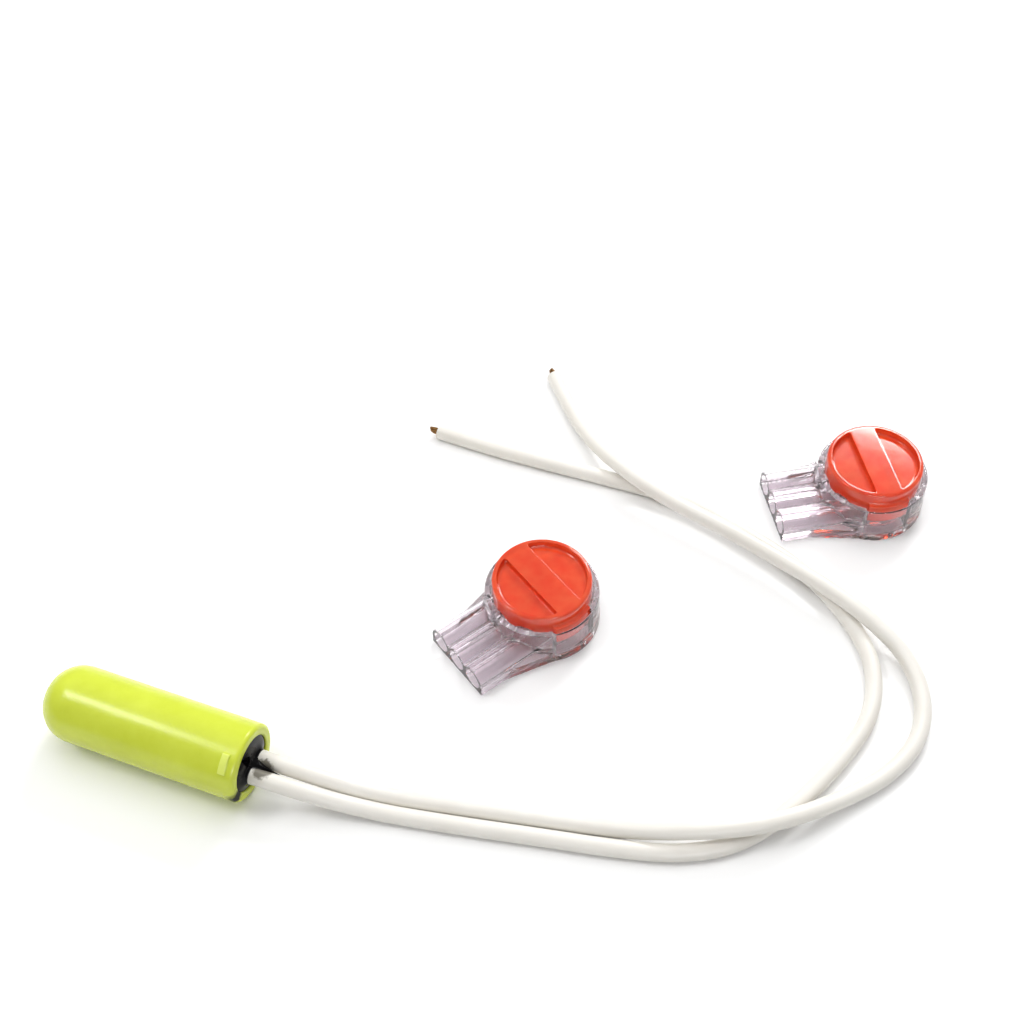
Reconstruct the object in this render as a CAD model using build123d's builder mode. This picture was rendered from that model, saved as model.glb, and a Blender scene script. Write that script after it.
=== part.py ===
from build123d import *
import os
from math import cos, pi, radians, sin, tan

# A soil sensor probe: a green capsule with a thermistor potted in it, on two white insulated leads,
# and the two loose button splice connectors that join those leads to field wiring.
# Millimetres, +Z up. Everything rests on Z = 0, and the origin is under the middle of the
# capsule and the connectors.

# ---- driving dimensions: capsule -------------------------------------------------------------
CAPSULE_RADIUS = 4.1
CAPSULE_LENGTH = 23.3
CAPSULE_WALL = 1.1
END_FLAT = 0.6              # radius of the flat left in the middle of the closed end
RIM_ROUND = 0.35            # radius of the mouth's outer edge
FILL_DEPTH = 0.4            # from the mouth down to the potting
PAD_LENGTH = 0.8            # moulded pad, along the capsule
PAD_WIDTH = 2.1
PAD_HEIGHT = 0.2
PAD_SETBACK = 1.3           # from the mouth to the middle of the pad
PAD_TILT = 37.0             # degrees round from the top
MOUTH_X, MOUTH_Y = -26.4, -19.1
CAPSULE_HEADING = -22.32    # degrees from +X to the way the leads leave

# ---- driving dimensions: what the potting holds ----------------------------------------------
LEAD_DROP = 0.4             # from the capsule's axis down to the leads
STRIP_DEPTH = 5.5           # from the mouth to the cut end of the insulation
CONDUCTOR_DEPTH = 8.5       # from the mouth to the inner end of the conductor
SLEEVE_WALL = 0.13
SLEEVE_GAP = 0.02           # of potting, from the capsule's axis to each sleeve
SLEEVE_COVER = 2.0          # length of insulation that the sleeve grips
SLEEVE_LENGTH = 7.7
SOLDER_RADIUS = 0.72
SOLDER_LENGTH = 3.0
CHIP_SIDE = 1.0
CHIP_THICKNESS = 0.5
COATING_RADIUS = 1.1
COATING_LENGTH = 3.4
COATING_FLAT = 0.08         # flat left round the leg wires where they leave the coating
WIRE_RADIUS = 0.15          # thermistor leg wires
WIRE_BEND = 1.0
WIRE_FILM = 0.05            # solder film between the chip's faces and its leg wires
WIRE_SPREAD_GAP = 0.4       # straight leg wire outside each sleeve's inner end
WIRE_SPREAD_RUN = 2.2       # along the capsule, over which the leg wires come together

# ---- driving dimensions: leads ---------------------------------------------------------------
LEAD_DIAMETER = 1.8
CONDUCTOR_DIAMETER = 0.96
EXIT_RUN = 3.5              # straight stretch outside the mouth
BARE_TIP = 1.3              # conductor left bare at the free end
ARC_SHARE = 0.45            # part of the shorter run that each arc of a lead takes up

# Each lead's route after its exit. Lead A lies outside lead B in the bend and crosses over it
# twice, in long low humps; it rides on lead B's shoulder between them.
LEAD_A_ROUTE = [
    (-14.6, -21.2, 0.9), (-6.0, -22.9, 0.9), (2.0, -24.4, 0.9), (9.0, -25.8, 1.0),
    (15.4, -27.0, 2.4), (22.0, -27.1, 2.9), (27.4, -25.8, 2.5), (32.5, -23.4, 1.2),
    (37.4, -20.9, 0.9), (41.4, -17.1, 0.9), (43.0, -12.0, 0.9), (42.0, -6.8, 1.4),
    (38.7, -2.8, 2.5), (34.4, 1.4, 3.0), (29.3, 6.0, 2.7), (24.0, 10.3, 2.8),
    (18.3, 14.3, 2.9), (13.6, 18.8, 3.1), (10.2, 24.6, 1.7), (7.9, 30.6, 0.9),
    (6.1, 36.5, 0.9),
]
LEAD_B_ROUTE = [
    (-15.0, -23.0, 0.9), (-6.5, -24.8, 0.9), (2.0, -26.4, 0.9), (9.0, -27.8, 0.9),
    (15.6, -28.7, 0.9), (21.8, -27.8, 0.9), (27.4, -24.1, 0.9), (32.8, -19.2, 0.9),
    (37.2, -13.9, 0.9), (38.6, -7.2, 0.9), (36.5, -0.8, 0.9), (33.0, 4.9, 0.9),
    (27.6, 10.2, 0.9), (20.7, 15.9, 0.9), (13.0, 19.0, 0.9), (5.3, 21.9, 0.9),
    (-1.6, 24.6, 0.9), (-8.3, 27.7, 0.9),
]

# ---- driving dimensions: button splice connectors --------------------------------------------
CONNECTORS = {              # centre of the cup (x, y), heading of the wire ports in degrees
    "splice_1": (3.3, 0.9, 215.81),
    "splice_2": (41.9, 16.15, 189.2),
}
CAP_RADIUS = 5.5
RIM_WALL = 0.75             # wall of the cup at its rim
CUP_DRAFT = 0.2             # how much wider the cup is at its base
RIM_HEIGHT = 4.8
DECK_HEIGHT = 2.15          # floor of the cup, under the cap
PORT_REACH = 11.7           # from the cup's centre to the face of the ports
PORT_PITCH = 2.9
PORT_RADIUS = 1.6           # outside of each wire port
BORE_RADIUS = 1.1
PORT_AXIS_HEIGHT = 1.6
WIRE_STOP = -2.6            # where an inserted wire stops, past the cup's centre
WELL_RADIUS = 0.8           # gel well beyond each wire stop
WELL_LENGTH = 2.0
FLOOR_DRAFT = 1             # degrees of draft on the flare's sides
FLARE_START = 8.4           # where the flare from the ports to the cup begins

CAP_TRAVEL = 2.0            # the press that seats the cap flush with the rim
CAP_EDGE = 0.4
CAP_RING = 0.7              # raised ring round the top
CAP_BAND = 3.1              # raised band across the top
CAP_RECESS = 0.8            # depth of the two D-shaped recesses
LEG_WIDTH = 4.8
LEG_STEP = 0.45             # how far the legs stand out from the cap's side
LEG_THICKNESS = 0.9
LEG_REACH = 1.3             # below the cap's underside
LEG_SHOULDER = 1.2          # above the cap's underside

CONTACT_THICKNESS = 0.3
POCKET_DEPTH = 0.6          # pocket in the cap's underside that holds the contact's bridge
CONTACT_GAP = 2.6           # between the middles of the two plates
CONTACT_SLOT = 0.7          # slot that bites through the insulation
CONTACT_MARGIN = 0.85       # of each plate, beside the outer slots
BITE_HEIGHT = 1.55          # from the plates' tips to the top of the slots
TIP_CLEARANCE = 0.05        # between the plates' tips and an inserted wire's bore

SLIDE_CLEARANCE = 0.05      # cap in cup, leg in groove, contact in its slots
SEAT_GAP = 0.05             # left under the pressed cap, its legs and the contact
GEL_SETBACK = 0.2           # from the wire stop to the gel

os.makedirs("parts", exist_ok=True)


def ground_plane(x, y, heading, height=0.0):
    """A level plane with its X along a heading in degrees."""
    turn = radians(heading)
    return Plane(origin=(x, y, height), x_dir=(cos(turn), sin(turn), 0), z_dir=(0, 0, 1))


def cross_plane(frame, x, y=0.0, z=0.0):
    """The plane across a level frame at its (x, y, z): normal along its X, up along its Z."""
    return Plane(origin=frame.from_local_coords(Vector(x, y, z)), x_dir=frame.y_dir, z_dir=frame.x_dir)


def export(builder, name):
    builder.part.label = name
    export_step(builder.part, f"parts/{name}.step")


# ==== capsule =================================================================================
capsule = ground_plane(MOUTH_X, MOUTH_Y, CAPSULE_HEADING, CAPSULE_RADIUS)
mouth = cross_plane(capsule, 0)
bore_radius = CAPSULE_RADIUS - CAPSULE_WALL
bore_depth = CAPSULE_LENGTH - CAPSULE_WALL
end_round = CAPSULE_RADIUS - END_FLAT
inner_round = bore_radius - END_FLAT
capsule_axis = Axis(mouth.origin, mouth.z_dir)
axial = Plane(origin=mouth.origin, x_dir=mouth.z_dir, z_dir=-mouth.x_dir)

tilt = radians(PAD_TILT)
pad_outward = -mouth.x_dir * sin(tilt) + mouth.y_dir * cos(tilt)
pad_top = Plane(
    origin=mouth.origin - mouth.z_dir * PAD_SETBACK + pad_outward * (CAPSULE_RADIUS + PAD_HEIGHT),
    x_dir=mouth.z_dir,
    z_dir=pad_outward,
)


def thimble_section(depth, radius, corner, mouth_depth=0.0):
    """Half the section of a thimble along the capsule's axis, with its closed end's corner rounded."""
    with BuildSketch(axial) as section:
        with Locations((-depth, 0)):
            Rectangle(depth - mouth_depth, radius, align=(Align.MIN, Align.MIN))
        fillet(section.vertices().sort_by(Axis.X)[:2].sort_by(Axis.Y)[-1], corner)
    return section.sketch


with BuildPart() as pad:
    with BuildSketch(pad_top):
        Rectangle(PAD_LENGTH, PAD_WIDTH)
    extrude(amount=-(PAD_HEIGHT + CAPSULE_WALL / 2))
    with BuildSketch(mouth):
        Circle(CAPSULE_RADIUS + PAD_HEIGHT)
    extrude(amount=-CAPSULE_LENGTH, mode=Mode.INTERSECT)

with BuildPart() as shell:
    revolve(thimble_section(CAPSULE_LENGTH, CAPSULE_RADIUS, end_round), axis=capsule_axis)
    fillet(shell.edges().sort_by(capsule_axis)[-1], RIM_ROUND)
    add(pad.part)
    revolve(
        thimble_section(bore_depth, bore_radius, inner_round), axis=capsule_axis, mode=Mode.SUBTRACT
    )
export(shell, "capsule_shell")


# ==== leads ===================================================================================
lead_radius = LEAD_DIAMETER / 2
conductor_radius = CONDUCTOR_DIAMETER / 2
lead_spread = lead_radius + SLEEVE_WALL + SLEEVE_GAP   # from the capsule's axis, sideways


def corner_radii(points):
    """One radius for each corner: as large an arc as the shorter of its two runs allows."""
    radii = []
    for before, corner, after in zip(points, points[1:], points[2:]):
        incoming, outgoing = corner - before, after - corner
        half_turn = radians(incoming.get_angle(outgoing)) / 2
        radii.append(ARC_SHARE * min(incoming.length, outgoing.length) / tan(half_turn))
    return radii


def lead_points(side, route):
    """The route of a lead from the cut end of its insulation, through the mouth, to its free end."""
    exits = [
        capsule.from_local_coords(Vector(along, side * lead_spread, -LEAD_DROP))
        for along in (-STRIP_DEPTH, EXIT_RUN)
    ]
    return exits + [Vector(*point) for point in route]


def stretched(points, at_start, at_end):
    """The same points with the first and last moved outwards along their own runs."""
    first = points[0] + (points[0] - points[1]).normalized() * at_start
    last = points[-1] + (points[-1] - points[-2]).normalized() * at_end
    return [first, *points[1:-1], last]


def swept_rod(points, radii, radius, bore=0.0):
    """A round rod or tube along straight runs and tangent arcs, and its length."""
    with BuildPart() as rod:
        with BuildLine():
            path = FilletPolyline(*points, radius=radii)
        with BuildSketch(Plane(origin=path @ 0, z_dir=path % 0)):
            Circle(radius)
            if bore:
                Circle(bore, mode=Mode.SUBTRACT)
        sweep(path=path)
    return rod, path.length


leads = {"a": (1, LEAD_A_ROUTE), "b": (-1, LEAD_B_ROUTE)}
insulation = {}
conductor = {}
for name, (side, route) in leads.items():
    points = lead_points(side, route)
    radii = corner_radii(points)
    insulation[name], length = swept_rod(points, radii, lead_radius, conductor_radius)
    export(insulation[name], f"lead_{name}_insulation")
    core = stretched(points, CONDUCTOR_DEPTH - STRIP_DEPTH, BARE_TIP)
    conductor[name], core_length = swept_rod(core, radii, conductor_radius)
    export(conductor[name], f"lead_{name}_conductor")
    section = pi * (lead_radius**2 - conductor_radius**2)
    print(f"lead {name}: length {length:.1f}, conductor {core_length:.1f}")
    print(f"  radii {[round(r, 1) for r in radii]}")
    print(f"  insulation {insulation[name].part.volume:.2f} of {section * length:.2f} mm3")


# ==== thermistor and its joints ===============================================================
sleeve_inner = STRIP_DEPTH - SLEEVE_COVER + SLEEVE_LENGTH
spread_end = sleeve_inner + WIRE_SPREAD_GAP
spread_start = spread_end + WIRE_SPREAD_RUN
thermistor_depth = (spread_start + bore_depth) / 2
chip_end = thermistor_depth + CHIP_SIDE / 2
chip_plane = cross_plane(capsule, -chip_end, z=-LEAD_DROP)
with BuildPart() as chip:
    with BuildSketch(chip_plane):
        Rectangle(CHIP_THICKNESS, CHIP_SIDE)
    extrude(amount=CHIP_SIDE)
export(chip, "thermistor_chip")

leg_wire = {}
solder = {}
sleeve = {}
for name, (side, _) in leads.items():
    near_chip = side * (CHIP_THICKNESS / 2 + WIRE_FILM + WIRE_RADIUS)
    wire_route = [
        (-chip_end, near_chip),
        (-spread_start, near_chip),
        (-spread_end, side * lead_spread),
        (-CONDUCTOR_DEPTH, side * lead_spread),
    ]
    wire_points = [capsule.from_local_coords(Vector(x, y, -LEAD_DROP)) for x, y in wire_route]
    leg_wire[name], _ = swept_rod(wire_points, [WIRE_BEND] * 2, WIRE_RADIUS)
    export(leg_wire[name], f"thermistor_wire_{name}")

    with BuildPart() as solder[name]:
        with BuildSketch(cross_plane(capsule, -CONDUCTOR_DEPTH + SOLDER_LENGTH / 2,
                                     side * lead_spread, -LEAD_DROP)):
            Circle(SOLDER_RADIUS)
        extrude(amount=-SOLDER_LENGTH)
        fillet(solder[name].edges().filter_by(GeomType.CIRCLE), SOLDER_RADIUS / 2)
        add(conductor[name].part, mode=Mode.SUBTRACT)
        add(leg_wire[name].part, mode=Mode.SUBTRACT)
    export(solder[name], f"solder_joint_{name}")

    with BuildPart() as sleeve[name]:
        with BuildSketch(cross_plane(capsule, SLEEVE_COVER - STRIP_DEPTH,
                                     side * lead_spread, -LEAD_DROP)):
            Circle(lead_radius + SLEEVE_WALL)
            Circle(lead_radius, mode=Mode.SUBTRACT)
        extrude(amount=-SLEEVE_LENGTH)
    export(sleeve[name], f"heat_shrink_{name}")

with BuildPart() as coating:
    with BuildSketch(cross_plane(capsule, COATING_LENGTH / 2 - thermistor_depth, z=-LEAD_DROP)):
        Circle(COATING_RADIUS)
    extrude(amount=-COATING_LENGTH)
    wires_reach = CHIP_THICKNESS / 2 + WIRE_FILM + 2 * WIRE_RADIUS
    fillet(coating.edges().filter_by(GeomType.CIRCLE), COATING_RADIUS - wires_reach - COATING_FLAT)
    add(chip.part, mode=Mode.SUBTRACT)
    for wire in leg_wire.values():
        add(wire.part, mode=Mode.SUBTRACT)
export(coating, "thermistor_coating")

with BuildPart() as potting:
    revolve(thimble_section(bore_depth, bore_radius, inner_round, FILL_DEPTH), axis=capsule_axis)
    add(coating.part, mode=Mode.SUBTRACT)
    add(chip.part, mode=Mode.SUBTRACT)
    for name, (side, _) in leads.items():
        with BuildSketch(cross_plane(capsule, SLEEVE_COVER - STRIP_DEPTH,
                                     side * lead_spread, -LEAD_DROP)):
            Circle(lead_radius + SLEEVE_WALL)
        extrude(amount=-SLEEVE_LENGTH, mode=Mode.SUBTRACT)
        add(insulation[name].part, mode=Mode.SUBTRACT)
        add(conductor[name].part, mode=Mode.SUBTRACT)
        add(leg_wire[name].part, mode=Mode.SUBTRACT)
export(potting, "potting_epoxy")


# ==== button splice connectors ================================================================
cap_bottom = DECK_HEIGHT + SEAT_GAP + CAP_TRAVEL
cap_top = RIM_HEIGHT + CAP_TRAVEL
cup_bore = CAP_RADIUS + SLIDE_CLEARANCE
rim_radius = cup_bore + RIM_WALL
base_radius = rim_radius + CUP_DRAFT
leg_outer = CAP_RADIUS + LEG_STEP
leg_inner = leg_outer - LEG_THICKNESS
leg_bottom = cap_bottom - LEG_REACH
bore_top = PORT_AXIS_HEIGHT + BORE_RADIUS
tip = bore_top + TIP_CLEARANCE
pocket_roof = cap_bottom + POCKET_DEPTH
contact_width = 2 * PORT_PITCH + CONTACT_SLOT + 2 * CONTACT_MARGIN
plate_places = [(-CONTACT_GAP / 2, 0), (CONTACT_GAP / 2, 0)]
port_places = [(-PORT_PITCH, PORT_AXIS_HEIGHT), (0, PORT_AXIS_HEIGHT), (PORT_PITCH, PORT_AXIS_HEIGHT)]
block_width = 2 * (PORT_PITCH + PORT_RADIUS)


def legs_plan(plane, inner, outer, width):
    """The plan of the two legs: opposite stretches of a ring, across the ports' heading."""
    with BuildSketch(plane) as plan:
        Circle(outer)
        Circle(inner, mode=Mode.SUBTRACT)
        Rectangle(width, 2 * outer, mode=Mode.INTERSECT)
    return plan.sketch


def make_housing(frame):
    """Clear moulding: a round cup and three wire ports side by side."""
    with BuildPart() as housing:
        with BuildSketch(frame):
            Circle(base_radius)
        with BuildSketch(frame.offset(RIM_HEIGHT)):
            Circle(rim_radius)
        loft()
        with BuildSketch(cross_plane(frame, 0)):
            with Locations(*port_places):
                Circle(PORT_RADIUS)
            with Locations((0, PORT_AXIS_HEIGHT / 2)):
                Rectangle(block_width, PORT_AXIS_HEIGHT)
        extrude(amount=PORT_REACH)
        with BuildSketch(frame):
            with BuildLine():
                half = block_width / 2
                Polyline((FLARE_START, half), (0, base_radius), (0, -base_radius),
                         (FLARE_START, -half), close=True)
            make_face()
            Circle(base_radius)
        extrude(amount=PORT_AXIS_HEIGHT, taper=FLOOR_DRAFT)
        with BuildSketch(frame.offset(RIM_HEIGHT)):
            Circle(cup_bore)
        extrude(amount=DECK_HEIGHT - RIM_HEIGHT, mode=Mode.SUBTRACT)
        grooves = legs_plan(
            frame.offset(leg_bottom - CAP_TRAVEL - SEAT_GAP),
            leg_inner - SLIDE_CLEARANCE,
            leg_outer + SLIDE_CLEARANCE,
            LEG_WIDTH + 2 * SLIDE_CLEARANCE,
        )
        extrude(grooves, amount=RIM_HEIGHT, mode=Mode.SUBTRACT)
        with BuildSketch(frame.offset(DECK_HEIGHT)):
            with Locations(*plate_places):
                Rectangle(CONTACT_THICKNESS + 2 * SLIDE_CLEARANCE, contact_width + 2 * SLIDE_CLEARANCE)
        extrude(amount=tip - CAP_TRAVEL - SEAT_GAP - DECK_HEIGHT, mode=Mode.SUBTRACT)
        with BuildSketch(cross_plane(frame, PORT_REACH)):
            with Locations(*port_places):
                Circle(BORE_RADIUS)
        extrude(amount=WIRE_STOP - PORT_REACH, mode=Mode.SUBTRACT)
        with BuildSketch(cross_plane(frame, WIRE_STOP)):
            with Locations(*port_places):
                Circle(WELL_RADIUS)
        extrude(amount=-WELL_LENGTH, mode=Mode.SUBTRACT)
    return housing


def make_cap(frame):
    """Translucent press cap: a thick disc, raised ring and band on top, a leg at each end of the band."""
    with BuildPart() as cap:
        with BuildSketch(frame.offset(cap_bottom)):
            Circle(CAP_RADIUS)
        extrude(amount=cap_top - cap_bottom)
        fillet(cap.edges().sort_by(Axis.Z)[-1], CAP_EDGE)
        with BuildSketch(frame.offset(cap_top)):
            Circle(CAP_RADIUS - CAP_RING)
            Rectangle(CAP_BAND, 2 * CAP_RADIUS, mode=Mode.SUBTRACT)
        extrude(amount=-CAP_RECESS, mode=Mode.SUBTRACT)
        legs = legs_plan(frame.offset(leg_bottom), leg_inner, leg_outer, LEG_WIDTH)
        extrude(legs, amount=LEG_REACH + LEG_SHOULDER)
        with BuildSketch(frame.offset(cap_bottom)):
            Rectangle(CONTACT_GAP + CONTACT_THICKNESS, contact_width)
        extrude(amount=pocket_roof - cap_bottom, mode=Mode.SUBTRACT)
        with BuildSketch(cross_plane(frame, -CAP_RADIUS, z=CAP_TRAVEL)):
            with Locations(*port_places):
                Circle(BORE_RADIUS)
        extrude(amount=2 * CAP_RADIUS, mode=Mode.SUBTRACT)
    return cap


def make_contact(frame):
    """Two slotted plates on a bridge, folded from one strip; it sits in the cap's pocket."""
    with BuildPart() as contact:
        with BuildSketch(frame.offset(pocket_roof)):
            Rectangle(CONTACT_GAP + CONTACT_THICKNESS, contact_width)
        extrude(amount=-CONTACT_THICKNESS)
        with BuildSketch(frame.offset(pocket_roof)):
            with Locations(*plate_places):
                Rectangle(CONTACT_THICKNESS, contact_width)
        extrude(amount=tip - pocket_roof)
        with BuildSketch(cross_plane(frame, -CONTACT_GAP, z=tip)):
            with Locations((-PORT_PITCH, 0), (0, 0), (PORT_PITCH, 0)):
                Rectangle(CONTACT_SLOT, 2 * BITE_HEIGHT)
        extrude(amount=2 * CONTACT_GAP, mode=Mode.SUBTRACT)
    return contact


def make_gel(frame):
    """Sealant gel in the wells beyond the three wire stops, level with the cup's deck."""
    with BuildPart() as gel:
        with BuildSketch(cross_plane(frame, WIRE_STOP - GEL_SETBACK)):
            with Locations(*port_places):
                Circle(WELL_RADIUS)
            with Locations((0, DECK_HEIGHT)):
                Rectangle(block_width, PORT_RADIUS, align=(Align.CENTER, Align.MIN), mode=Mode.SUBTRACT)
        extrude(amount=GEL_SETBACK - WELL_LENGTH)
    return gel


for name, (x, y, heading) in CONNECTORS.items():
    frame = ground_plane(x, y, heading)
    export(make_housing(frame), f"{name}_housing")
    export(make_cap(frame), f"{name}_press_cap")
    export(make_contact(frame), f"{name}_contact")
    export(make_gel(frame), f"{name}_gel")
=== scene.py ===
import math

import bmesh
import bpy
import numpy as np
from mathutils import Matrix, Vector


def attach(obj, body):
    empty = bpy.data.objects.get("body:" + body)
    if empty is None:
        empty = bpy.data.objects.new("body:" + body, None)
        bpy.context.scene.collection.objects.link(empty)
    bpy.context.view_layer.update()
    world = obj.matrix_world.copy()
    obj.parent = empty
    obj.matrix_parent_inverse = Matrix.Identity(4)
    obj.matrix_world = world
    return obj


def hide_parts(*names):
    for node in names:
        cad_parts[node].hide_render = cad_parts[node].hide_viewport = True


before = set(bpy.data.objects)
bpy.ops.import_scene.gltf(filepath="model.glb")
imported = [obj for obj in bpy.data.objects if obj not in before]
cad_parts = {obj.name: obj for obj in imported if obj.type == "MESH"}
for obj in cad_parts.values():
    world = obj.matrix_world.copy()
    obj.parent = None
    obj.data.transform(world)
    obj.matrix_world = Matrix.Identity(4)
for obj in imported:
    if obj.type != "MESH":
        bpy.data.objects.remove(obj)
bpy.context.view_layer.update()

mm = 0.001

# ==== Studio ====================================================================================
# A pale seamless table under one large soft box and three small ones.
# The camera looks down at the parts at 51 degrees, from about 170 mm away, with a slight roll.


def linear(srgb_hex):
    """An sRGB hex colour as linear RGBA: each channel c becomes ((c + 0.055) / 1.055) ^ 2.4, or
    c / 12.92 where it is 0.04045 or less."""
    channels = np.array([int(srgb_hex[i:i + 2], 16) for i in (1, 3, 5)]) / 255
    low = channels / 12.92
    high = ((channels + 0.055) / 1.055) ** 2.4
    return (*np.where(channels <= 0.04045, low, high), 1.0)


def new_material(name):
    """An empty node material; returns it, its tree and its output node."""
    material = bpy.data.materials.new(name)
    material.use_nodes = True
    material.node_tree.nodes.clear()
    output = material.node_tree.nodes.new("ShaderNodeOutputMaterial")
    return material, material.node_tree, output


def add(tree, kind, settings=None, **inputs):
    """One node with its settings; each input is a value, or an output socket to link from."""
    node = tree.nodes.new("ShaderNode" + kind)
    for key, value in (settings or {}).items():
        setattr(node, key, value)
    for key, value in inputs.items():
        socket = node.inputs[int(key[1:]) if key[0] == "_" else key.replace("_", " ")]
        if isinstance(value, bpy.types.NodeSocket):
            tree.links.new(value, socket)
        else:
            socket.default_value = value
    return node


camera_elevation = math.radians(51.232)
camera_roll = math.radians(-1.682)
camera_distance = 168.35 * mm
camera_target = Vector((0.3 * mm, 15.5 * mm, 0.0))
camera_lens = 50.45

away = Vector((0.0, math.cos(camera_elevation), -math.sin(camera_elevation)))
level_right = Vector((1.0, 0.0, 0.0))
level_up = Vector((0.0, math.sin(camera_elevation), math.cos(camera_elevation)))
right = math.cos(camera_roll) * level_right + math.sin(camera_roll) * level_up
up = -math.sin(camera_roll) * level_right + math.cos(camera_roll) * level_up
camera = bpy.data.objects.new("camera", bpy.data.cameras.new("camera"))
camera.data.lens = camera_lens
camera.data.sensor_width = 36.0
camera.data.clip_start = 0.01
camera.matrix_world = Matrix.Translation(camera_target - away * camera_distance) @ Matrix(
    (right, up, -away)).transposed().to_4x4()
bpy.context.collection.objects.link(camera)
bpy.context.scene.camera = camera
bpy.context.scene.view_settings.view_transform = "Standard"

floor_size = 4.0
table_mesh = bpy.data.meshes.new("table")
half = floor_size / 2
table_mesh.from_pydata(
    [(-half, -half, 0), (half, -half, 0), (half, half, 0), (-half, half, 0)], [], [(0, 1, 2, 3)])
table = bpy.data.objects.new("table", table_mesh)
bpy.context.collection.objects.link(table)
table_paint, tree, output = new_material("white_laminate")
laminate = add(tree, "BsdfPrincipled", Base_Color=linear("#FCFCFC"), Roughness=0.9,
               Specular_IOR_Level=0.1)
tree.links.new(laminate.outputs[0], output.inputs[0])
table.data.materials.append(table_paint)

# The room is brightest overhead and darker low down on the camera's side, which gives clear and
# glossy pieces something dark to mirror.
world = bpy.data.worlds.new("studio_air")
world.use_nodes = True
room = world.node_tree
room.nodes.clear()
surroundings = add(room, "OutputWorld")
direction = add(room, "TexCoord").outputs["Generated"]
split = add(room, "SeparateXYZ", Vector=direction)
from_above = add(room, "MapRange", Value=split.outputs["Z"], From_Min=-0.1, From_Max=0.7,
                 To_Min=0.0, To_Max=0.555)
from_behind = add(room, "MapRange", Value=split.outputs["Y"], From_Min=-0.6, From_Max=0.5,
                  To_Min=0.27, To_Max=0.37)
brightness = add(room, "Math", {"operation": "MAXIMUM"}, _0=from_above.outputs["Result"],
                 _1=from_behind.outputs["Result"])
air = add(room, "Background", Color=(1.0, 1.0, 1.0, 1.0), Strength=brightness.outputs[0])
room.links.new(air.outputs[0], surroundings.inputs[0])
bpy.context.scene.world = world


def soft_box(name, place, aim, size, power, mirrored=True, lights=True):
    """A rectangular area light at a place, turned to an aim point, both in metres. One that isn't
    mirrored shows in no glossy surface, and one that doesn't light shows only in glossy and
    clear ones."""
    data = bpy.data.lights.new(name, "AREA")
    data.shape = "RECTANGLE"
    data.size, data.size_y = size
    data.energy = power
    light = bpy.data.objects.new(name, data)
    light.location = place
    light.rotation_euler = (Vector(aim) - Vector(place)).to_track_quat("-Z", "Y").to_euler()
    light.visible_glossy = mirrored
    light.visible_diffuse = lights
    bpy.context.collection.objects.link(light)


soft_box("overhead_box", (0.02, 0.14, 0.60), (0.0, 0.0, 0.0), (0.60, 0.50), 1.74, mirrored=False)
soft_box("streak_box", (-0.288, 0.006, 0.449), (-0.040, -0.013, 0.008), (0.15, 0.034), 0.60)
soft_box("rim_box", (0.16, 0.36, 0.32), (0.01, 0.0, 0.0), (0.16, 0.09), 1.2)
soft_box("catch_strip", (0.06, -0.44, 0.20), (-0.026, -0.019, 0.004), (0.30, 0.03), 1.2,
         lights=False)


# ==== Leads =====================================================================================
# Two single-core hook-up leads, white PVC extruded over a twisted copper core, 1.8 mm across.
# They leave the potted mouth side by side; lead A crosses over lead B twice and ends further back.
lead_diameter = 1.8 * mm
lead_routes = {
    "a": [
        (-31.09, -16.04, 3.7), (-22.76, -19.46, 3.7),
        (-14.6, -21.2, 0.9), (-6.0, -22.9, 0.9), (2.0, -24.4, 0.9), (9.0, -25.8, 1.0),
        (15.4, -27.0, 2.4), (22.0, -27.1, 2.9), (27.4, -25.8, 2.5), (32.5, -23.4, 1.2),
        (37.4, -20.9, 0.9), (41.4, -17.1, 0.9), (43.0, -12.0, 0.9), (42.0, -6.8, 1.4),
        (38.7, -2.8, 2.5), (34.4, 1.4, 3.0), (29.3, 6.0, 2.7), (24.0, 10.3, 2.8),
        (18.3, 14.3, 2.9), (13.6, 18.8, 3.1), (10.2, 24.6, 1.7), (7.9, 30.6, 0.9),
        (6.1, 36.5, 0.9),
    ],
    "b": [
        (-31.89, -17.98, 3.7), (-23.56, -21.40, 3.7),
        (-15.0, -23.0, 0.9), (-6.5, -24.8, 0.9), (2.0, -26.4, 0.9), (9.0, -27.8, 0.9),
        (15.6, -28.7, 0.9), (21.8, -27.8, 0.9), (27.4, -24.1, 0.9), (32.8, -19.2, 0.9),
        (37.2, -13.9, 0.9), (38.6, -7.2, 0.9), (36.5, -0.8, 0.9), (33.0, 4.9, 0.9),
        (27.6, 10.2, 0.9), (20.7, 15.9, 0.9), (13.0, 19.0, 0.9), (5.3, 21.9, 0.9),
        (-1.6, 24.6, 0.9), (-8.3, 27.7, 0.9),
    ],
}

# Extruded plasticised PVC: opaque white, satin and faintly uneven, with an amber-grey smear where
# uncured epoxy touched it near the mouth.
white_pvc, tree, output = new_material("white_pvc_insulation")
place = add(tree, "TexCoord").outputs["Object"]
blotch = add(tree, "TexNoise", Vector=place, Scale=1 / (6 * mm), Detail=3.0)
tone = add(tree, "ValToRGB", Fac=blotch.outputs["Fac"])
tone.color_ramp.elements[0].position = 0.3
tone.color_ramp.elements[0].color = linear("#E4E0D8")
tone.color_ramp.elements[1].position = 0.7
tone.color_ramp.elements[1].color = linear("#EAE7E0")
groove_place = Vector((-25.3, -19.8, 4.2)) * mm
from_groove = add(tree, "VectorMath", {"operation": "DISTANCE"}, _0=place, _1=groove_place)
smear_patch = add(tree, "TexNoise", Vector=place, Scale=1 / (0.6 * mm), Detail=3.0, Roughness=0.6)
smear_edge = add(tree, "Math", {"operation": "MULTIPLY_ADD"}, _0=smear_patch.outputs["Fac"],
                 _1=1.2 * mm, _2=from_groove.outputs["Value"])
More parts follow.
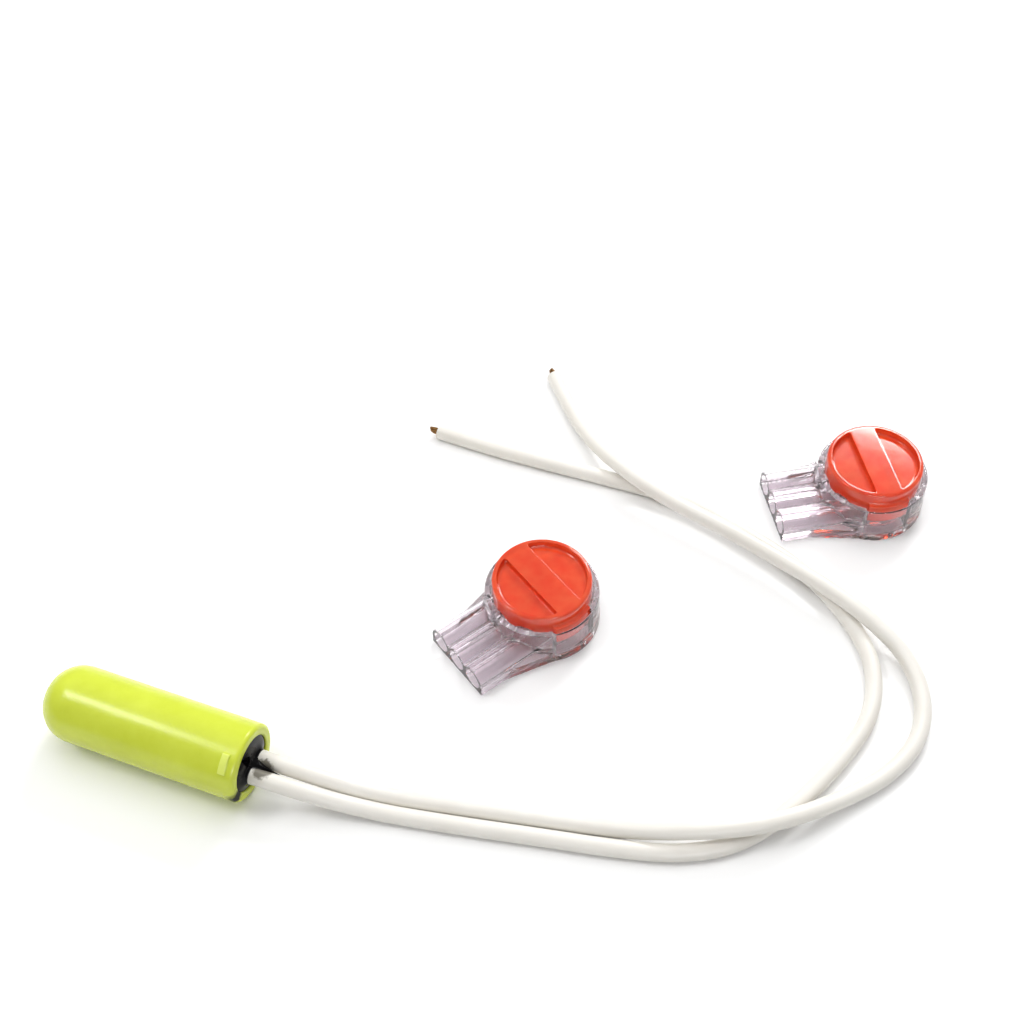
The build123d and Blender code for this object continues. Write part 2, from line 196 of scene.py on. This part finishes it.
smear = add(tree, "MapRange", Value=smear_edge.outputs[0], From_Min=1.50 * mm, From_Max=1.80 * mm,
            To_Min=0.85, To_Max=0.0)
stained = add(tree, "Mix", {"data_type": "RGBA"}, _0=smear.outputs["Result"],
              _6=tone.outputs["Color"], _7=linear("#5C5646"))
grain = add(tree, "TexNoise", Vector=place, Scale=1 / (0.35 * mm), Detail=2.0)
unevenness = add(tree, "Bump", Strength=0.08, Distance=0.03 * mm, Height=grain.outputs["Fac"])
pvc = add(tree, "BsdfPrincipled", Base_Color=stained.outputs[2], Roughness=0.42, IOR=1.53,
          Subsurface_Weight=0.08, Subsurface_Radius=(0.4 * mm, 0.35 * mm, 0.3 * mm),
          Subsurface_Scale=1.0, Normal=unevenness.outputs[0])
tree.links.new(pvc.outputs[0], output.inputs[0])

# Copper strands dulled by handling: warm brown metal, darker in patches.
strand_copper, tree, output = new_material("dulled_copper_strand")
place = add(tree, "TexCoord").outputs["Object"]
dulling = add(tree, "TexNoise", Vector=place, Scale=1 / (0.25 * mm), Detail=3.0)
oxide = add(tree, "ValToRGB", Fac=dulling.outputs["Fac"])
oxide.color_ramp.elements[0].color = linear("#4A3420")
oxide.color_ramp.elements[1].color = linear("#B98A55")
copper = add(tree, "BsdfPrincipled", Base_Color=oxide.outputs["Color"], Metallic=1.0, Roughness=0.4)
tree.links.new(copper.outputs[0], output.inputs[0])


def surface_mesh(name, points, wrap_rows=False, wrap_columns=False):
    """A mesh over a grid of points (rows, columns, 3): a quad between each four neighbours,
    joined round where wrapped, with coincident points at poles merged and normals outwards."""
    rows, columns, _ = points.shape
    index = np.arange(rows * columns).reshape(rows, columns)
    if wrap_rows:
        index = np.vstack([index, index[:1]])
    if wrap_columns:
        index = np.hstack([index, index[:, :1]])
    quads = np.stack([index[:-1, :-1], index[1:, :-1], index[1:, 1:], index[:-1, 1:]], -1)
    mesh = bpy.data.meshes.new(name)
    mesh.from_pydata(points.reshape(-1, 3).tolist(), [], quads.reshape(-1, 4).tolist())
    shape = bmesh.new()
    shape.from_mesh(mesh)
    bmesh.ops.remove_doubles(shape, verts=shape.verts, dist=1e-7)
    bmesh.ops.dissolve_degenerate(shape, edges=shape.edges, dist=1e-8)
    bmesh.ops.recalc_face_normals(shape, faces=shape.faces)
    shape.to_mesh(mesh)
    shape.free()
    mesh.polygons.foreach_set("use_smooth", np.ones(len(mesh.polygons), dtype=bool))
    piece = bpy.data.objects.new(name, mesh)
    bpy.context.collection.objects.link(piece)
    return piece


def twisted_strands(name, end, direction, bare, buried):
    """Seven strands, one straight and six on a helix round it, drawn together and thinned towards
    the end. With c from 0 at the insulation to 1 at the end, the middle of strand k is at the
    radius 2 * strand_radius * (1 - drawn_together * c) and the angle 60 k + 360 along / lay_length
    degrees."""
    strand_radius = 0.16 * mm
    lay_length = 11.0 * mm
    drawn_together, thinned, cut_short = 0.45, 0.25, 0.07
    along = np.linspace(-buried, bare, 24)
    closing = np.clip(along / bare, 0, 1) ** 1.5
    axis = np.array(direction)
    side = np.cross(axis, (0, 0, 1.0))
    side /= np.linalg.norm(side)
    top = np.cross(side, axis)
    around = np.linspace(0, 2 * np.pi, 12, endpoint=False)
    strands = []
    for k in range(7):
        reach = 0.0 if k == 6 else 2.0 * strand_radius
        angle = np.radians(60 * k) + 2 * np.pi * along / lay_length
        spread = reach * (1 - drawn_together * closing)
        thickness = strand_radius * (1 - thinned * closing)
        trim = along * (1 - cut_short * k * closing)
        middle = (np.array(end) + trim[:, None] * axis
                  + spread[:, None] * (np.cos(angle)[:, None] * side + np.sin(angle)[:, None] * top))
        ring = np.cos(around)[:, None] * side + np.sin(around)[:, None] * top
        tube = middle[:, None] + thickness[:, None, None] * ring[None]
        start = middle[:1, None].repeat(len(around), 1)
        finish = middle[-1:, None].repeat(len(around), 1)
        closed = np.concatenate([start, tube, finish])
        strands.append(surface_mesh(f"{name}_{k}", closed, wrap_columns=True))
    with bpy.context.temp_override(active_object=strands[0], selected_editable_objects=strands):
        bpy.ops.object.join()
    strands[0].name = name
    return strands[0]


bare_tip, tip_inside = 1.25 * mm, 0.8 * mm
for lead, route in lead_routes.items():
    curve = bpy.data.curves.new(f"lead_{lead}", "CURVE")
    curve.dimensions = "3D"
    spline = curve.splines.new("NURBS")
    spline.points.add(len(route) - 1)
    points = np.hstack([np.array(route) * mm, np.ones((len(route), 1))])
    spline.points.foreach_set("co", points.ravel())
    spline.order_u = 3
    spline.use_endpoint_u = True
    curve.resolution_u = 12
    curve.bevel_depth = lead_diameter / 2
    curve.bevel_resolution = 8
    curve.use_fill_caps = True
    wire = bpy.data.objects.new(f"lead_{lead}", curve)
    bpy.context.collection.objects.link(wire)
    curve.materials.append(white_pvc)
    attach(wire, "probe")
    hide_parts(f"lead_{lead}_insulation")

    last_run = points[-1, :3] - points[-2, :3]
    last_run /= np.linalg.norm(last_run)
    tip = twisted_strands(f"lead_{lead}_bare_end", points[-1, :3], last_run, bare_tip, tip_inside)
    tip.data.materials.append(strand_copper)
    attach(tip, "probe")
    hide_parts(f"lead_{lead}_conductor")


# ==== Capsule ===================================================================================
# One injection-moulded thimble of lime-green polypropylene, closed and rounded at the far end.
# Its mouth has a softened edge, and a small raised rectangular pad, the mould's gate, stands
# just behind it; the pad is painted a lighter green, a painted highlight.
capsule_radius = 4.1 * mm
capsule_length = 23.3 * mm
capsule_wall = 1.1 * mm
end_round = 3.5 * mm
rim_round = 0.45 * mm
draft = 0.05 * mm
inner_edge = 0.18 * mm
bore_shown = 3.5 * mm
pad_setback, pad_length, pad_width, pad_height = 1.3 * mm, 0.8 * mm, 2.1 * mm, 0.2 * mm
pad_angle = math.radians(37)
pad_edge = 0.08 * mm
pad_end = 3.0 * mm
capsule_heading = math.radians(-22.32)
mouth_centre = np.array([-26.4, -19.1, 4.1]) * mm
outward = np.array([math.cos(capsule_heading), math.sin(capsule_heading), 0.0])
sideways = np.array([-outward[1], outward[0], 0.0])
upward = np.array([0.0, 0.0, 1.0])


def in_capsule(along, across, height):
    """Capsule coordinates to the shared frame: along its axis out of the mouth, sideways,
    upwards."""
    return (mouth_centre + along[..., None] * outward + across[..., None] * sideways
            + height[..., None] * upward)


def smooth_step(value):
    """0 below 0, 1 above 1, and 3 v^2 - 2 v^3 between."""
    value = np.clip(value, 0, 1)
    return value * value * (3 - 2 * value)


# Profile: (along, radius) from the middle of the closed end, round it, along the wall, round the
# mouth's edge, and back down the bore to a floor that the potting hides.
turn = np.linspace(0, np.pi / 2, 30)
end_along = -capsule_length + end_round * (1 - np.cos(turn))
end_radius = capsule_radius - draft - end_round * (1 - np.sin(turn))
wall_along = np.concatenate([
    np.linspace(-capsule_length + end_round, -pad_end, 60)[1:],
    np.linspace(-pad_end, -rim_round, 90)[1:],
])
wall_radius = capsule_radius - draft * smooth_step(-wall_along / capsule_length)
rim_along = -rim_round * (1 - np.sin(turn[1:]))
rim_radius = capsule_radius - rim_round * (1 - np.cos(turn[1:]))
inner_turn = np.linspace(0, np.pi / 2, 10)
bore_radius = capsule_radius - capsule_wall
lip_along = -inner_edge * (1 - np.cos(inner_turn))
lip_radius = bore_radius + inner_edge * (1 - np.sin(inner_turn))
bore_along = np.linspace(-inner_edge, -bore_shown, 12)[1:]
profile_along = np.concatenate([[-capsule_length], end_along, wall_along, rim_along,
                                lip_along, bore_along, [-bore_shown]])
profile_radius = np.concatenate([[0.0], end_radius, wall_radius, rim_radius, lip_radius,
                                 np.full(len(bore_along), bore_radius), [0.0]])
outside = np.arange(len(profile_along)) < 1 + len(end_along) + len(wall_along)

around = np.linspace(0, 2 * np.pi, 360, endpoint=False)
from_pad_along = pad_length / 2 - np.abs(profile_along + pad_setback)
pad_turn = np.angle(np.exp(1j * (around + pad_angle)))
from_pad_round = pad_width / 2 - np.abs(pad_turn) * capsule_radius
pad_rise = (pad_height * smooth_step(from_pad_along / pad_edge + 0.5)[:, None]
            * smooth_step(from_pad_round / pad_edge + 0.5)[None] * outside[:, None])
reach = profile_radius[:, None] + pad_rise
along = np.broadcast_to(profile_along[:, None], reach.shape)
capsule_body = surface_mesh(
    "capsule_body", in_capsule(along, reach * np.sin(around), reach * np.cos(around)),
    wrap_columns=True)

# Moulded polypropylene filled with lime pigment: even colour, soft gloss, with the fine orange
# peel of a spark-eroded mould that breaks the long highlight up, and epoxy smeared over the rim.
lime_moulding, tree, output = new_material("lime_green_moulded_polypropylene")
place = add(tree, "TexCoord").outputs["Object"]
clouding = add(tree, "TexNoise", Vector=place, Scale=1 / (4 * mm), Detail=4.0, Roughness=0.6)
pigment = add(tree, "ValToRGB", Fac=clouding.outputs["Fac"])
pigment.color_ramp.elements[0].position = 0.3
pigment.color_ramp.elements[0].color = linear("#C6D238")
pigment.color_ramp.elements[1].position = 0.7
pigment.color_ramp.elements[1].color = linear("#CFDB46")
drip_centre = Vector(in_capsule(np.array(-0.2 * mm), np.array(-3.45 * mm), np.array(-0.75 * mm)))
from_drip = add(tree, "VectorMath", {"operation": "DISTANCE"}, _0=place, _1=drip_centre)
ragged = add(tree, "TexNoise", Vector=place, Scale=1 / (0.5 * mm), Detail=3.0)
drip_edge = add(tree, "Math", {"operation": "MULTIPLY_ADD"}, _0=ragged.outputs["Fac"],
                _1=0.7 * mm, _2=from_drip.outputs["Value"])
drip = add(tree, "MapRange", Value=drip_edge.outputs[0], From_Min=0.9 * mm, From_Max=1.6 * mm,
           To_Min=1.0, To_Max=0.0)
# The raised pad is painted a lighter green: a painted highlight where its flat face catches the
# light.
gate_pad = add(tree, "Attribute", {"attribute_name": "gate_pad"})
pad_painted_highlight = add(tree, "Mix", {"data_type": "RGBA"}, _0=gate_pad.outputs["Fac"],
               _6=pigment.outputs["Color"], _7=linear("#E0EC6E"))
skin = add(tree, "Mix", {"data_type": "RGBA"}, _0=drip.outputs["Result"],
           _6=pad_painted_highlight.outputs[2], _7=linear("#0E0C05"))
peel = add(tree, "TexNoise", Vector=place, Scale=1 / (0.22 * mm), Detail=2.0)
peel_bump = add(tree, "Bump", Strength=0.5, Distance=0.03 * mm, Height=peel.outputs["Fac"])
skin_gloss = add(tree, "MapRange", Value=drip.outputs["Result"], To_Min=0.24, To_Max=0.7)
polypropylene = add(tree, "BsdfPrincipled", Base_Color=skin.outputs[2],
                    Roughness=skin_gloss.outputs["Result"], IOR=1.45,
                    Subsurface_Weight=0.12, Subsurface_Radius=(0.8 * mm, 0.9 * mm, 0.3 * mm),
                    Subsurface_Scale=1.0, Normal=peel_bump.outputs[0])
tree.links.new(polypropylene.outputs[0], output.inputs[0])
capsule_body.data.materials.append(lime_moulding)
# A mask of the raised pad, which the material paints lighter as a painted highlight.
corners = np.empty(3 * len(capsule_body.data.vertices))
capsule_body.data.vertices.foreach_get("co", corners)
from_mouth = corners.reshape(-1, 3) - mouth_centre
proud = np.hypot(from_mouth @ sideways, from_mouth @ upward) - capsule_radius
pad_mask = capsule_body.data.attributes.new("gate_pad", "FLOAT", "POINT")
pad_mask.data.foreach_set("value", smooth_step(proud / pad_height))
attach(capsule_body, "probe")
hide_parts("capsule_shell")


# ==== Potting ===================================================================================
# Black two-part epoxy poured round the leads until it bulges just below the rim. It wets the
# leads, climbs them, and is drawn out into a wedge in the groove between the leads. Where climb and
# wedge meet, the higher one counts whole and the lower one by meeting_share.
lead_spread, lead_drop = 1.05 * mm, 0.4 * mm
fill_depth, potting_depth = 0.27 * mm, 3.0 * mm
wall_overlap = 0.02 * mm
bead_height, bead_middle, bead_spread = 0.22 * mm, 0.62, 0.40
climb_height, climb_fade = 0.35 * mm, 0.26 * mm
wedge_length, wedge_depth, wedge_width = 3.2 * mm, 0.75 * mm, 0.50 * mm
meeting_share = 0.3


def bulge(share):
    """The height of the bead at a share s of the bore's radius, from 0 to 1: the half ellipse
    sqrt(1 - ((s - middle) / spread)^2)."""
    return np.sqrt(np.maximum(1 - ((share - bead_middle) / bead_spread) ** 2, 0))


ring = np.linspace(0, 1, 150)[:, None] ** 0.8 * (bore_radius + wall_overlap)
across, height = ring * np.sin(around), ring * np.cos(around)
pool = -fill_depth + bead_height * bulge(ring / bore_radius)
climb = 0.0
for side in (-1, 1):
    from_lead = np.hypot(across - side * lead_spread, height + lead_drop) - lead_diameter / 2
    climb = climb + climb_height * np.exp(-np.maximum(from_lead, 0) / climb_fade)
groove_depth = height + lead_drop
wedge = wedge_length * np.exp(-(groove_depth / wedge_depth) ** 2 - np.abs(across) / wedge_width)
surface_along = pool + np.maximum(climb, wedge) + meeting_share * np.minimum(climb, wedge)
front = in_capsule(surface_along, across, height)
skirt_along = np.full((1, len(around)), -potting_depth)
skirt = in_capsule(skirt_along, across[-1:], height[-1:])
back = in_capsule(skirt_along, 0 * across[-1:], 0 * height[-1:])
potting_pool = surface_mesh("potting_pool", np.concatenate([front, skirt, back]), wrap_columns=True)

# Cured unfilled epoxy, carbon black: mirror-like, with shallow dimples.
black_epoxy, tree, output = new_material("black_cast_epoxy")
place = add(tree, "TexCoord").outputs["Object"]
dimples = add(tree, "TexNoise", Vector=place, Scale=1 / (0.8 * mm), Detail=2.0)
dimple_bump = add(tree, "Bump", Strength=0.04, Distance=0.08 * mm, Height=dimples.outputs["Fac"])
epoxy = add(tree, "BsdfPrincipled", Base_Color=linear("#060507"), Roughness=0.05, IOR=1.45,
            Specular_IOR_Level=0.15, Normal=dimple_bump.outputs[0])
tree.links.new(epoxy.outputs[0], output.inputs[0])
potting_pool.data.materials.append(black_epoxy)
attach(potting_pool, "probe")
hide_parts("potting_epoxy")


# ==== Sensing element ===========================================================================
# Sealed in the epoxy at the capsule's closed end: a thermistor chip dipped in brown resin, its two
# tinned wires, a solder joint to each lead's core, and a shrink sleeve over each joint.
chip_ceramic, tree, output = new_material("thermistor_ceramic")
place = add(tree, "TexCoord").outputs["Object"]
grains = add(tree, "TexVoronoi", Vector=place, Scale=1 / (0.08 * mm))
oxide_tone = add(tree, "ValToRGB", Fac=grains.outputs["Distance"])
oxide_tone.color_ramp.elements[0].color = linear("#3A3836")
oxide_tone.color_ramp.elements[1].color = linear("#5A5754")
ceramic = add(tree, "BsdfPrincipled", Base_Color=oxide_tone.outputs["Color"], Roughness=0.6)
tree.links.new(ceramic.outputs[0], output.inputs[0])

dipped_resin, tree, output = new_material("brown_dipped_resin")
place = add(tree, "TexCoord").outputs["Object"]
runs = add(tree, "TexNoise", Vector=place, Scale=1 / (0.7 * mm), Detail=2.0)
resin_bump = add(tree, "Bump", Strength=0.2, Distance=0.05 * mm, Height=runs.outputs["Fac"])
resin = add(tree, "BsdfPrincipled", Base_Color=linear("#5A3218"), Roughness=0.18,
            Normal=resin_bump.outputs[0])
tree.links.new(resin.outputs[0], output.inputs[0])

tinned_wire, tree, output = new_material("tinned_copper_wire")
place = add(tree, "TexCoord").outputs["Object"]
drawn = add(tree, "TexNoise", Vector=place, Scale=1 / (0.12 * mm), Detail=2.0)
drawn_gloss = add(tree, "MapRange", Value=drawn.outputs["Fac"], To_Min=0.2, To_Max=0.4)
tinned = add(tree, "BsdfPrincipled", Base_Color=linear("#CFCDC8"), Metallic=1.0,
             Roughness=drawn_gloss.outputs["Result"])
tree.links.new(tinned.outputs[0], output.inputs[0])

solder_fillet, tree, output = new_material("tin_solder")
place = add(tree, "TexCoord").outputs["Object"]
frosting = add(tree, "TexNoise", Vector=place, Scale=1 / (0.2 * mm), Detail=3.0)
frosted = add(tree, "MapRange", Value=frosting.outputs["Fac"], To_Min=0.15, To_Max=0.5)
solder = add(tree, "BsdfPrincipled", Base_Color=linear("#BDBCBA"), Metallic=1.0,
             Roughness=frosted.outputs["Result"])
tree.links.new(solder.outputs[0], output.inputs[0])

shrink_sleeve, tree, output = new_material("black_shrunk_polyolefin")
place = add(tree, "TexCoord").outputs["Object"]
wrinkles = add(tree, "TexNoise", Vector=place, Scale=1 / (0.3 * mm), Detail=2.0)
wrinkle_bump = add(tree, "Bump", Strength=0.25, Distance=0.04 * mm, Height=wrinkles.outputs["Fac"])
polyolefin = add(tree, "BsdfPrincipled", Base_Color=linear("#141415"), Roughness=0.45,
                 Normal=wrinkle_bump.outputs[0])
tree.links.new(polyolefin.outputs[0], output.inputs[0])

sealed_finishes = {
    "thermistor_chip": chip_ceramic, "thermistor_coating": dipped_resin,
    "thermistor_wire_a": tinned_wire, "thermistor_wire_b": tinned_wire,
    "solder_joint_a": solder_fillet, "solder_joint_b": solder_fillet,
    "heat_shrink_a": shrink_sleeve, "heat_shrink_b": shrink_sleeve,
}
for node, finish in sealed_finishes.items():
    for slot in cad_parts[node].material_slots:
        slot.material = finish


# ==== Splice connectors =========================================================================
# Three-port button splice connectors: a clear polycarbonate cup with three wire ports, a
# translucent red cap that presses down into it, a tinned brass contact and sealant gel.
sliding_room = 0.07 * mm


def moulded_copy(node, name, grain, passes):
    """The CAD solid with the small radii that a mould gives every edge: its surface is resampled at
    an even grain, each point moved half way to its neighbours' mean in a few passes, and the whole
    surface then drawn in by sliding_room, so that the pieces that slide in it have more room."""
    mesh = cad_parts[node].data.copy()
    mesh.materials.clear()
    shape = bmesh.new()
    shape.from_mesh(mesh)
    bmesh.ops.remove_doubles(shape, verts=shape.verts, dist=1e-7)
    shape.to_mesh(mesh)
    shape.free()
    piece = bpy.data.objects.new(name, mesh)
    bpy.context.collection.objects.link(piece)
    resample = piece.modifiers.new("even_grain", "REMESH")
    resample.mode = "VOXEL"
    resample.voxel_size = grain
    resample.use_smooth_shade = True
    relax = piece.modifiers.new("mould_radii", "SMOOTH")
    relax.factor = 0.5
    relax.iterations = passes
    drawing_in = piece.modifiers.new("drawing_in", "DISPLACE")
    drawing_in.mid_level = 0.0
    drawing_in.strength = -sliding_room
    return piece


# Moulded polycarbonate: clear with a faint lilac tint, a little haze from flow in the mould.
clear_pc, tree, output = new_material("clear_moulded_polycarbonate")
place = add(tree, "TexCoord").outputs["Object"]
flow = add(tree, "TexNoise", Vector=place, Scale=1 / (2.5 * mm), Detail=2.0)
haze = add(tree, "MapRange", Value=flow.outputs["Fac"], From_Min=0.3, From_Max=0.7,
           To_Min=0.03, To_Max=0.09)
flow_bump = add(tree, "Bump", Strength=0.1, Distance=0.05 * mm, Height=flow.outputs["Fac"])
polycarbonate = add(tree, "BsdfPrincipled", Base_Color=linear("#FDF7FB"),
                    Roughness=haze.outputs["Result"], IOR=1.46, Transmission_Weight=1.0,
                    Normal=flow_bump.outputs[0])
tree.links.new(polycarbonate.outputs[0], output.inputs[0])

# Translucent red polycarbonate for the cap: orange-red, with slightly uneven dye.
red_pc, tree, output = new_material("translucent_red_polycarbonate")
place = add(tree, "TexCoord").outputs["Object"]
flow = add(tree, "TexNoise", Vector=place, Scale=1 / (2.0 * mm), Detail=2.0)
dye = add(tree, "ValToRGB", Fac=flow.outputs["Fac"])
dye.color_ramp.elements[0].position = 0.3
dye.color_ramp.elements[0].color = linear("#FA4A20")
dye.color_ramp.elements[1].position = 0.7
dye.color_ramp.elements[1].color = linear("#FF6234")
cap_bump = add(tree, "Bump", Strength=0.08, Distance=0.05 * mm, Height=flow.outputs["Fac"])
red_plastic = add(tree, "BsdfPrincipled", Base_Color=dye.outputs["Color"], Roughness=0.08,
                  IOR=1.58, Transmission_Weight=0.45, Normal=cap_bump.outputs[0])
tree.links.new(red_plastic.outputs[0], output.inputs[0])

# Tin plate over brass strip: pale grey metal with rolling streaks.
tin_plate, tree, output = new_material("tin_plated_brass")
place = add(tree, "TexCoord").outputs["Object"]
streak_scale = (1 / (0.15 * mm), 1 / (2 * mm), 1 / (0.15 * mm))
stretched = add(tree, "Mapping", Vector=place, Scale=streak_scale)
streaks = add(tree, "TexNoise", Vector=stretched.outputs[0], Scale=1.0, Detail=2.0)
rolled = add(tree, "MapRange", Value=streaks.outputs["Fac"], To_Min=0.25, To_Max=0.45)
tin = add(tree, "BsdfPrincipled", Base_Color=linear("#CFCBC2"), Metallic=1.0,
          Roughness=rolled.outputs["Result"])
tree.links.new(tin.outputs[0], output.inputs[0])

# Silicone sealant gel: clear, slightly yellow, with small bubbles.
sealant, tree, output = new_material("clear_silicone_gel")
place = add(tree, "TexCoord").outputs["Object"]
bubbles = add(tree, "TexVoronoi", Vector=place, Scale=1 / (0.6 * mm))
bubble_bump = add(tree, "Bump", Strength=0.3, Distance=0.05 * mm, Height=bubbles.outputs["Distance"])
gel = add(tree, "BsdfPrincipled", Base_Color=linear("#F2EEE0"), Roughness=0.12, IOR=1.41,
          Transmission_Weight=0.85, Normal=bubble_bump.outputs[0])
tree.links.new(gel.outputs[0], output.inputs[0])

housing_grain, cap_grain = 0.11 * mm, 0.08 * mm
for splice in ("splice_1", "splice_2"):
    housing = moulded_copy(f"{splice}_housing", f"{splice}_clear_cup", housing_grain, 3)
    housing.data.materials.append(clear_pc)
    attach(housing, f"{splice}_base")
    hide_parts(f"{splice}_housing")

    cap = moulded_copy(f"{splice}_press_cap", f"{splice}_red_cap", cap_grain, 10)
    cap.data.materials.append(red_pc)
    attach(cap, f"{splice}_cap")
    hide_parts(f"{splice}_press_cap")

    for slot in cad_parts[f"{splice}_contact"].material_slots:
        slot.material = tin_plate
    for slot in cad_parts[f"{splice}_gel"].material_slots:
        slot.material = sealant
